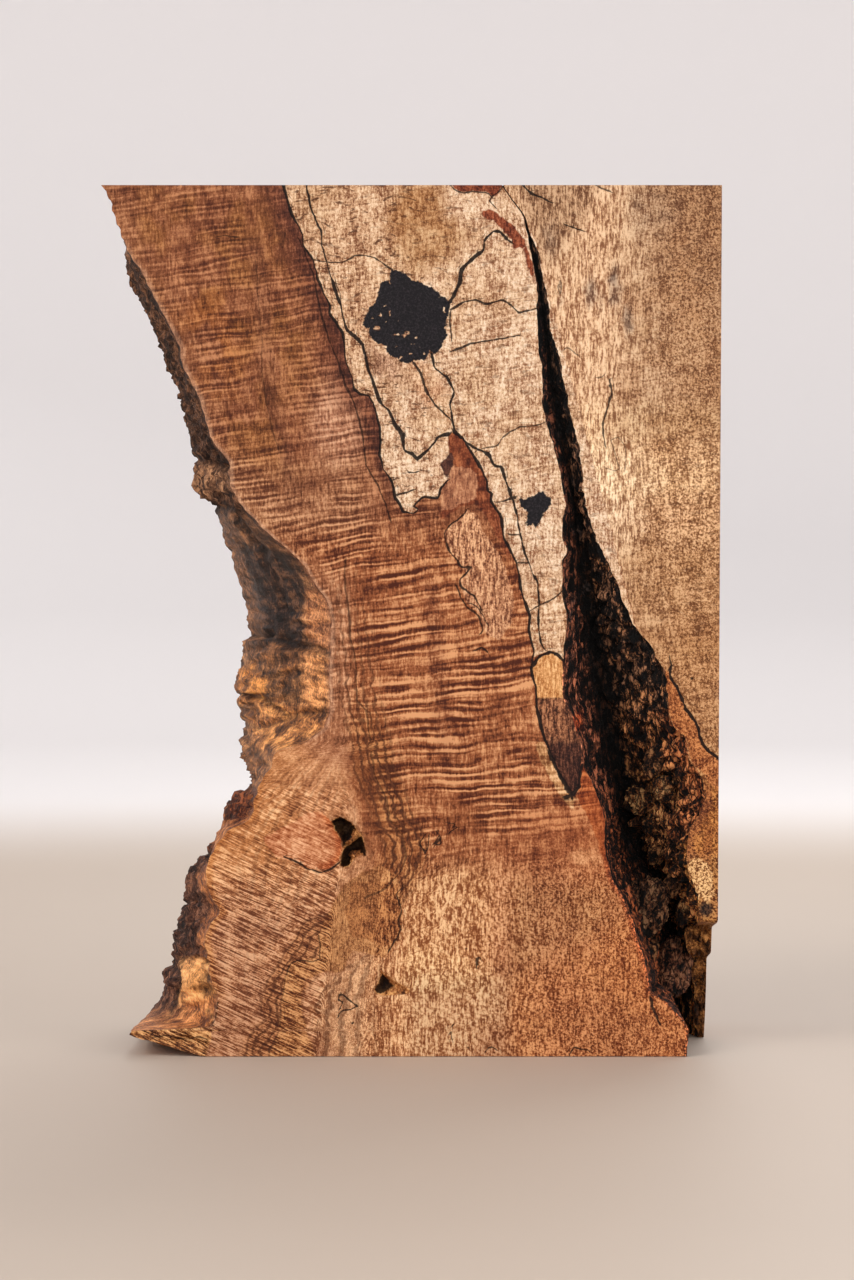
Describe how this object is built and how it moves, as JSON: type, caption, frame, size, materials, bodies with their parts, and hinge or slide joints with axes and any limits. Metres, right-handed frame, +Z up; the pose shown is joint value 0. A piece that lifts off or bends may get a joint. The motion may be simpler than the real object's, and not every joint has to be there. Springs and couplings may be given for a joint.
{
  "type": "maple burl",
  "caption": "Sawn block of spalted curly burl wood with a natural side, a bark-lined cleft and a flat foot to stand on.",
  "frame": {"origin": "middle of the block's bounding box, on the plane of the sawn foot", "axes": "+Z up the block, -Y out of the sawn front with the figure, +X towards the sawn right side"},
  "size_m": [0.2708, 0.12, 0.38],
  "materials": {
    "spalted_wood": "sawn and smoothed dry wood, tan and brown curly figure with black spalt lines; dark bark in the cleft"
  },
  "bodies": {
    "root": {"maple_burl": "spalted_wood"}
  },
  "joints": []
}
